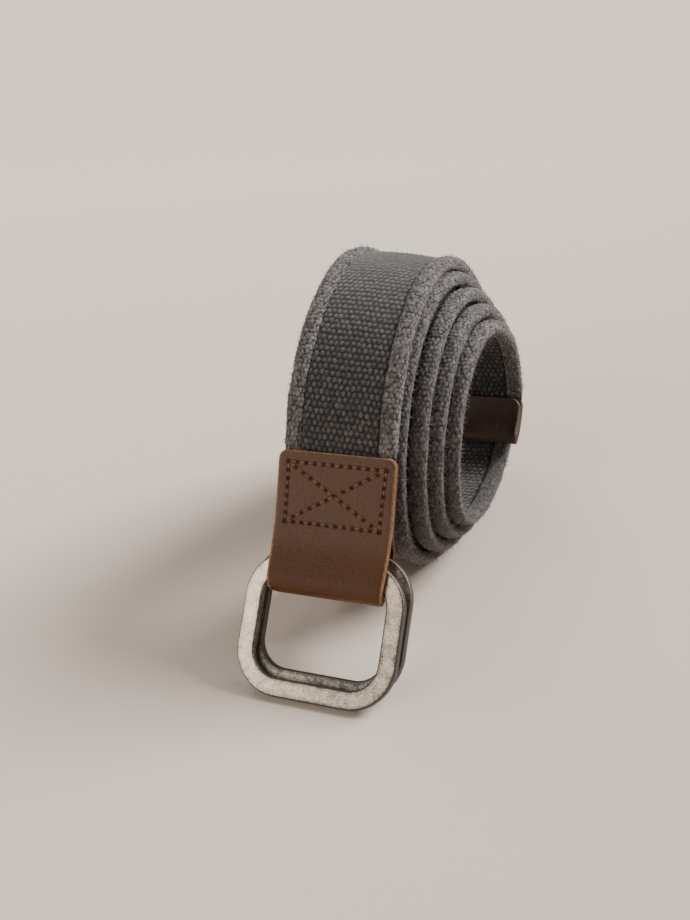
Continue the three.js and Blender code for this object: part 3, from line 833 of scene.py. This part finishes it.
def ring_path(count):
    """The middle line of a ring's bar as (x, down) from its top bar's middle, with the directions to its
    outside: four straight bars joined by quarter circles, evenly spaced."""
    half_bar = RING["bar"] / 2
    foot = (RING["width"] / 2 - RING["corner"], RING["height"] - RING["corner"] - half_bar, RING["corner"])
    top = (RING["width"] / 2 - RING["top_corner"], RING["top_corner"] - half_bar, RING["top_corner"])
    points, normals = [], []
    for x, down, radius, start in (
        (top[0], top[1], top[2], -90), (foot[0], foot[1], foot[2], 0),
        (-foot[0], foot[1], foot[2], 90), (-top[0], top[1], top[2], 180),
    ):
        angle = np.radians(start + np.linspace(0, 90, 60))
        normal = np.stack([np.cos(angle), np.sin(angle)], axis=-1)
        points.append(np.array([x, down]) + (radius - half_bar) * normal)
        normals.append(normal)
    points = np.concatenate([*points, points[0][:1]])
    normals = np.concatenate([*normals, normals[0][:1]])
    run = run_along(points)
    even = np.linspace(0, run[-1], count, endpoint=False)
    normal = points_at(even, run, normals)
    return points_at(even, run, points), normal / np.linalg.norm(normal, axis=1)[:, None]


def ring_piece(name, look, across, foot, slope, bevel, painted_shade):
    """A flat ring: a rectangle with rounded edges carried round the ring's line, in its sloping plane. Its
    faces wave a little, by 0.03 mm, and its foot is cut off level where it stands on the floor."""
    point, normal = ring_path(RING_POINTS)
    half_bar, half_thick = RING["bar"] / 2, RING["thickness"] / 2
    turn = np.radians(np.linspace(0, 90, 6))
    corner_side, corner_out = half_bar - bevel, half_thick - bevel
    side, out = [], []
    for sign_side, sign_out, start in ((1, 1, 0), (-1, 1, 90), (-1, -1, 180), (1, -1, 270)):
        angle = turn + np.radians(start)
        side.append(sign_side * corner_side + bevel * np.cos(angle))
        out.append(sign_out * corner_out + bevel * np.sin(angle))
        if sign_side == sign_out:
            # Points on the faces, closer together near the edges, where the patina changes.
            inset = corner_side - np.array([0.14, 0.3, 0.5, 0.8, 1.6])
            flat = np.concatenate([inset, -inset[::-1]]) * sign_side
            side.append(flat)
            out.append(0 * flat + sign_out * half_thick)
    side, out = np.concatenate(side), np.concatenate(out)
    distance = np.hypot(half_bar - np.abs(side), half_thick - np.abs(out))
    on_wall = half_thick - np.abs(out) > 0.3
    # The walls are dark all over, and on the faces patina follows the edges: a narrow dark line and a broad
    # faint one. Painted shade is added all over the rear ring, and painted shade is added most at each ring's
    # lower right corner.
    narrow = 0.5 * np.exp(-(((distance - 0.34) / 0.16) ** 2))
    broad = 0.16 * np.exp(-(((distance - 0.7) / 0.6) ** 2))
    patina_and_shade = np.where(on_wall, 0.62, narrow + broad) + painted_shade
    bar, downwards, outwards = ring_bar(slope, foot)
    flat_x, down = (point[:, k, None] + normal[:, k, None] * side for k in range(2))
    worn = 0.03 * drift_noise(flat_x / 4, down / 4, 3)
    raised = np.broadcast_to(out, flat_x.shape) + worn * np.sign(out)
    level = bar + down[..., None] * downwards + raised[..., None] * outwards
    grid = np.concatenate([across + flat_x[..., None], level], axis=-1)
    grid[..., 2] = np.maximum(grid[..., 2], 0.0)
    rows, columns = flat_x.shape
    # Painted shade: each ring is painted darker towards its lower right corner.
    lower_right_shade = smooth_step(flat_x / RING["width"] + down / RING["height"], -0.3, 1.2)
    values = {"patina_and_shade": patina_and_shade + 0.32 * lower_right_shade}
    return make_piece(name, grid, grid_quads(rows, columns, True, True), (), values, [look])


# Add-on


class BeltWebbing(bpy.types.PropertyGroup):
    yarn_pitch: FloatProperty(name="Yarn spacing", description="Across the panel, from yarn to yarn",
                              default=0.0019, unit="LENGTH")
    row_pitch: FloatProperty(name="Row spacing", description="Along the strap, from row to row",
                             default=0.00198, unit="LENGTH")
    yarn_height: FloatProperty(name="Yarn height", description="How far the panel's yarns stand up",
                               default=0.00036, unit="LENGTH")
    edge_height: FloatProperty(name="Edge yarn height", description="How far the edges' yarns stand up",
                               default=0.0004, unit="LENGTH")
    edge_row: FloatProperty(name="Edge row spacing", description="Along the edges, from yarn to yarn",
                            default=0.00152, unit="LENGTH")
    fibre_count: IntProperty(name="Loose fibres", description="How many fibres stand off each edge",
                             default=7400)
    fibre_length: FloatProperty(name="Fibre length", description="The longest loose fibre",
                                default=0.0019, unit="LENGTH")
    # The gap colours are painted shade between the yarns.
    panel_crown: StringProperty(name="Panel yarn colour", description="sRGB hex", default="#53504f")
    panel_gap_shade: StringProperty(name="Panel gap colour", description="sRGB hex", default="#272524")
    edge_crown: StringProperty(name="Edge yarn colour", description="sRGB hex", default="#767170")
    edge_gap_shade: StringProperty(name="Edge gap colour", description="sRGB hex", default="#373433")


class BeltLeather(bpy.types.PropertyGroup):
    dark: StringProperty(name="Dark brown", description="sRGB hex", default="#523421")
    light: StringProperty(name="Light brown", description="sRGB hex", default="#5e3e29")
    tip_dark: StringProperty(name="Tip dark brown", description="sRGB hex", default="#36271e")
    tip_light: StringProperty(name="Tip light brown", description="sRGB hex", default="#443126")
    tip_raw: StringProperty(name="Tip raw edge", description="sRGB hex", default="#6e4f36")
    raw_dark: StringProperty(name="Raw edge dark", description="sRGB hex", default="#6e4d33")
    raw_light: StringProperty(name="Raw edge light", description="sRGB hex", default="#96704f")
    thread_dark: StringProperty(name="Thread dark", description="sRGB hex", default="#5c3b26")
    thread_light: StringProperty(name="Thread light", description="sRGB hex", default="#a2744f")
    thread_width: FloatProperty(name="Thread width", description="Of the tab's stitches",
                                default=0.0004, unit="LENGTH")
    tip_thread_width: FloatProperty(name="Tip thread width", description="Of the tip's stitches",
                                    default=0.00045, unit="LENGTH")


class BeltRings(bpy.types.PropertyGroup):
    bevel: FloatProperty(name="Edge round", description="Radius of the bars' edges", default=0.0006,
                         unit="LENGTH")
    bright: StringProperty(name="Bright metal", description="sRGB hex", default="#efd9c5")
    # This colour serves both the patina and the painted shade.
    patina_and_shade: StringProperty(name="Patina", description="sRGB hex", default="#5f5b58")


class BeltStage(bpy.types.PropertyGroup):
    board: StringProperty(name="Floor colour", description="sRGB hex", default="#e0d0c3")
    air: StringProperty(name="Fill colour", description="sRGB hex", default="#fbeee0")
    key_power: FloatProperty(name="Key light", description="Strength of the light from the right",
                             default=5.9)
    key_angle: FloatProperty(name="Key width", description="How wide the far lights are, in degrees",
                             default=28.0)
    top_power: FloatProperty(name="High light", description="Strength of the higher light from the right",
                             default=0.4)
    side_power: FloatProperty(name="Side light", description="Strength of the weaker light from the left",
                              default=0.7)
    fill: FloatProperty(name="Fill", description="Strength of the even light all round", default=0.16)
    card_power: FloatProperty(name="Front card", description="Power in watts", default=4.4)
    camera_place: FloatVectorProperty(name="Camera", description="Where the camera stands",
                                      default=(0.12898, -0.29582, 0.23521), subtype="XYZ", unit="LENGTH")
    lens: FloatProperty(name="Lens", description="Focal length in millimetres", default=43.18)


class BELT_OT_webbing_panel(bpy.types.Operator):
    """Make the strap's woven panel in three lengths"""

    bl_idname = "belt.webbing_panel"
    bl_label = "Webbing panel"

    def execute(self, context):
        group = context.scene.belt_webbing
        yarn = {"pitch": group.yarn_pitch / MM, "row": group.row_pitch / MM, "height": group.yarn_height / MM}
        look = woven_cotton("cotton_yarn_woven_panel", group.panel_crown, group.panel_gap_shade, sheen=0.3)
        # Painted shade: the middle length is all in the panel's gap colour and has no sheen, so that it reads
        # dark in the slots between turns.
        shade_look = woven_cotton("cotton_yarn_painted_shade", group.panel_gap_shade, group.panel_gap_shade, sheen=0.0)
        # The outer turn shows from outside and the last one in the roll's eye; the rest lies hidden.
        first, second = LINE.at_turn(1.12), LINE.at_turn(3.45)
        lengths = [
            ("webbing_panel_outer", look, -TAB["strap_end"], first, PANEL_STEP, PANEL_WOVEN, PANEL_PLAIN),
            ("webbing_panel_middle", shade_look, first, second, PANEL_PLAIN_STEP, PANEL_PLAIN, PANEL_PLAIN),
            ("webbing_panel_inner", look, second, LINE.end, PANEL_STEP, PANEL_PLAIN, PANEL_WOVEN),
        ]
        for length in lengths:
            attach(webbing_panel(*length, yarn), "belt", "webbing", "webbing_strap")
        return {"FINISHED"}


class BELT_OT_webbing_edges(bpy.types.Operator):
    """Make the strap's two thick edges and their loose fibres"""

    bl_idname = "belt.webbing_edges"
    bl_label = "Webbing edges"

    def execute(self, context):
        group = context.scene.belt_webbing
        yarn = {"edge_height": group.edge_height / MM, "edge_row": group.edge_row / MM}
        look = woven_cotton("cotton_yarn_bound_edge", group.edge_crown, group.edge_gap_shade, sheen=0.12)
        # Each edge is made in three lengths, so that no piece is too heavy.
        first, second = LINE.at_turn(1.1), LINE.at_turn(2.5)
        parts = [("outer", -TAB["strap_end"], first), ("middle", first, second), ("inner", second, LINE.end)]
        for name, side in (("webbing_edge_left", -1), ("webbing_edge_right", 1)):
            for part, start, end in parts:
                piece = webbing_edge(f"{name}_{part}", look, side, start, end, yarn)
                attach(piece, "belt", "webbing", "webbing_strap")
            fibres = loose_fibres(f"{name}_fibres", look, side, group.fibre_count, group.fibre_length / MM)
            attach(fibres, "belt", "webbing")
        return {"FINISHED"}


class BELT_OT_leather_tab(bpy.types.Operator):
    """Make the leather tab folded round the rings' bars"""

    bl_idname = "belt.leather_tab"
    bl_label = "Leather tab"

    def execute(self, context):
        group = context.scene.belt_leather
        path, run = tab_path()
        total = run[-1]
        side = np.full(len(run), SIDE_SHIFT[0][1])
        half = corner_width(run, total, TAB_HALVES)
        seam = TAB["seam_end"] - TAB["top"]
        seam_back = TAB["seam_end"] - TAB["back_top"]
        lip = LIP * on_strap(run, seam, total - seam_back, 3)
        # Painted shade: where bent is high, in the fold and on the back layer, the leather is painted darker.
        bent = smooth_step(run, seam + 1, seam + 16)  # rises in the fold, and the back stays dark
        holes = seam_holes(TAB_SEAMS)

        def dent(across, row):
            """The dents of both layers, each as far down from the strap's end as its seam reaches."""
            front = TAB["top"] + run[row][:, None]
            back = TAB["back_top"] + (total - run[row])[:, None]
            return sum(dents(across, down, holes, TAB_HOLE) * (down < TAB["seam_end"] + 3)
                       for down in (front, back))

        looks = [pull_up_leather("full_grain_leather_oiled", group.dark, group.light),
                 cut_leather_edge("vegetable_tanned_edge_cut", group.raw_dark, group.raw_light)]
        piece = leather_strip("leather_tab_dressed", looks, path, side, half, LEATHER["thickness"], lip,
                              bent, dent)
        attach(piece, "belt", "leather", "leather_tab")
        return {"FINISHED"}


class BELT_OT_leather_tip(bpy.types.Operator):
    """Make the leather tip on the strap's inner end"""

    bl_idname = "belt.leather_tip"
    bl_label = "Leather tip"

    def execute(self, context):
        group = context.scene.belt_leather
        out = LEATHER_INSIDE + LEATHER["tip_thickness"] / 2
        face = np.arange(LINE.end - TIP_OVERLAP, LINE.end, LAYER_STEP)
        bend = np.linspace(0.5 * np.pi, -0.5 * np.pi, 17)
        at = np.concatenate([face, LINE.end + GAP + out * np.cos(bend), face[::-1]])
        level = np.concatenate([0 * face + out, out * np.sin(bend), 0 * face - out])
        path = LINE.place(at, 0.0, level)
        side, path = path[:, 0], path[:, 1:]
        run = run_along(path)
        total = run[-1]
        half = corner_width(run, total, [(0, TIP_HALF), (1, TIP_HALF)])  # as wide all along
        lip = LIP * on_strap(run, TIP_OVERLAP - 1, total - TIP_OVERLAP + 1, 1)
        holes = seam_holes(TIP_SEAMS)

        def dent(across, row):
            """The dents of both layers, counted back from the strap's end."""
            before = TIP_OVERLAP - np.minimum(run[row], total - run[row])[:, None]
            return dents(across, before, holes, TIP_HOLE)

        looks = [pull_up_leather("full_grain_leather_dark", group.tip_dark, group.tip_light),
                 cut_leather_edge("vegetable_tanned_tip_edge", group.tip_dark, group.tip_raw)]
        piece = leather_strip("leather_tip_dressed", looks, path, side, half, LEATHER["tip_thickness"], lip,
                              0 * run, dent)
        attach(piece, "belt", "leather", "leather_tip")
        return {"FINISHED"}


class BELT_OT_stitching(bpy.types.Operator):
    """Sew the tab and the tip"""

    bl_idname = "belt.stitching"
    bl_label = "Stitching"

    def execute(self, context):
        group = context.scene.belt_leather
        look = twisted_thread("polyester_thread_waxed", group.thread_dark, group.thread_light)
        dark = twisted_thread("polyester_thread_brown", group.tip_dark, group.tip_raw)
        tab_face = LEATHER_INSIDE + LEATHER["thickness"]
        tip_face = LEATHER_INSIDE + LEATHER["tip_thickness"]
        width, tip_width = group.thread_width / MM, group.tip_thread_width / MM
        for name, thread, seams, end, face, wide, gap in (
            ("tab_stitches_front", look, TAB_SEAMS, 0, tab_face, width, 0.5),
            ("tab_stitches_back", look, TAB_SEAMS, 0, -tab_face, width, 0.5),
            ("tip_stitches_inner", dark, TIP_SEAMS, LINE.end, -tip_face, tip_width, 1.1),
            ("tip_stitches_outer", dark, TIP_SEAMS, LINE.end, tip_face, tip_width, 1.1),
        ):
            attach(stitch_rows(name, thread, seams, end, face, wide, gap), "belt", "leather")
        return {"FINISHED"}


class BELT_OT_rings(bpy.types.Operator):
    """Make the two flat rings"""

    bl_idname = "belt.rings"
    bl_label = "Rings"

    def execute(self, context):
        group = context.scene.belt_rings
        look = antique_nickel("zinc_alloy_antique_nickel", group.patina_and_shade, group.bright)
        # The last number in each row is painted shade added all over the ring: only the rear ring gets it.
        rings = [("ring_front", RING["side"], RING["foot"], RING["slope"], 0.0),
                 ("ring_rear", RING["rear_side"], RING["foot"] - RING["spacing"], RING["rear_slope"], 0.25)]
        for node, across, foot, slope, painted_shade in rings:
            piece = ring_piece(node + "_dressed", look, across, foot, slope, group.bevel / MM, painted_shade)
            attach(piece, node, "ring_metal", node)
        return {"FINISHED"}


class BELT_OT_stage(bpy.types.Operator):
    """Set up the floor, the lights and the camera"""

    bl_idname = "belt.stage"
    bl_label = "Stage"

    def execute(self, context):
        group = context.scene.belt_stage
        scene = context.scene
        half = 12.0  # metres from the middle of the floor to its sides
        mesh = bpy.data.meshes.new("floor_board")
        corners = [(-half, -half, 0), (half, -half, 0), (half, half, 0), (-half, half, 0)]
        mesh.from_pydata(corners, [], [(0, 1, 2, 3)])
        mesh.materials.append(matt_board("painted_board_matt", group.board))
        floor = bpy.data.objects.new("floor_board", mesh)
        scene.collection.objects.link(floor)

        world = bpy.data.worlds.new("studio")
        scene.world = world
        world.use_nodes = True
        world.node_tree.nodes.clear()
        light = add_node(world.node_tree, "ShaderNodeBackground", {"Color": linear(group.air),
                                                                   "Strength": group.fill})
        add_node(world.node_tree, "ShaderNodeOutputWorld", {"Surface": light.outputs[0]})

        # A tall even light stands to the right, made of a low and a high one. A weaker one comes from
        # behind on the left, and a wide card stands in front on the left.
        low, high, left = (bpy.data.lights.new(name, "SUN") for name in ("key_low", "key_high", "side_light"))
        for far in (low, high, left):
            far.angle = np.radians(group.key_angle)
        card = bpy.data.lights.new("card", "AREA")
        card.shape = "DISK"
        card.size = 0.9
        white, warm = (1, 0.99, 0.98), (1, 0.95, 0.89)
        for lamp, towards, distance, power, colour in (
            (low, (0.6, 0.54, 0.53), 1.3, group.key_power, white),
            (high, (0.42, 0.3, 0.85), 1.3, group.top_power, white),
            (left, (-0.5, 0.5, 0.7), 1.3, group.side_power, white),
            (card, (-0.48, -0.72, 0.45), 0.95, group.card_power, warm),
        ):
            lamp.energy = power
            lamp.color = colour
            stand = bpy.data.objects.new(lamp.name, lamp)
            stand.location = tuple(np.array(towards) * distance)
            stand.rotation_euler = stand.location.to_track_quat("Z", "Y").to_euler()
            scene.collection.objects.link(stand)

        camera = bpy.data.cameras.new("camera")
        camera.sensor_fit = "VERTICAL"
        camera.sensor_height = 36
        camera.lens = group.lens
        view = bpy.data.objects.new("camera", camera)
        # The directions to the camera's right, up and back.
        turned = Matrix(((0.91825, 0.37280, -0.13345), (-0.08938, 0.52349, 0.84732),
                         (0.38575, -0.76614, 0.51402))).transposed().to_4x4()
        view.matrix_world = Matrix.Translation(group.camera_place) @ turned
        scene.collection.objects.link(view)
        scene.camera = view
        return {"FINISHED"}


OPERATORS = [
    BELT_OT_webbing_panel, BELT_OT_webbing_edges, BELT_OT_leather_tab, BELT_OT_leather_tip,
    BELT_OT_stitching, BELT_OT_rings, BELT_OT_stage,
]


class BELT_PT_sidebar(bpy.types.Panel):
    """The belt's pieces, in the order in which they are made"""

    bl_idname = "BELT_PT_sidebar"
    bl_label = "Rolled canvas belt"
    bl_space_type = "VIEW_3D"
    bl_region_type = "UI"
    bl_category = "Belt"

    def draw(self, context):
        for operator in OPERATORS:
            self.layout.operator(operator.bl_idname)


GROUPS = {
    "belt_webbing": BeltWebbing, "belt_leather": BeltLeather, "belt_rings": BeltRings,
    "belt_stage": BeltStage,
}


def register():
    """Makes the add-on's classes known and gives the scene their settings."""
    for kind in [*GROUPS.values(), *OPERATORS, BELT_PT_sidebar]:
        bpy.utils.register_class(kind)
    for name, kind in GROUPS.items():
        setattr(bpy.types.Scene, name, PointerProperty(type=kind))


def unregister():
    """Takes the settings and the classes away again."""
    for name in GROUPS:
        delattr(bpy.types.Scene, name)
    for kind in [BELT_PT_sidebar, *reversed(OPERATORS), *GROUPS.values()]:
        bpy.utils.unregister_class(kind)


def main():
    """Makes all pieces in order."""
    register()
    for operator in OPERATORS:
        group, name = operator.bl_idname.split(".")
        getattr(getattr(bpy.ops, group), name)()


if __name__ == "__main__":
    main()
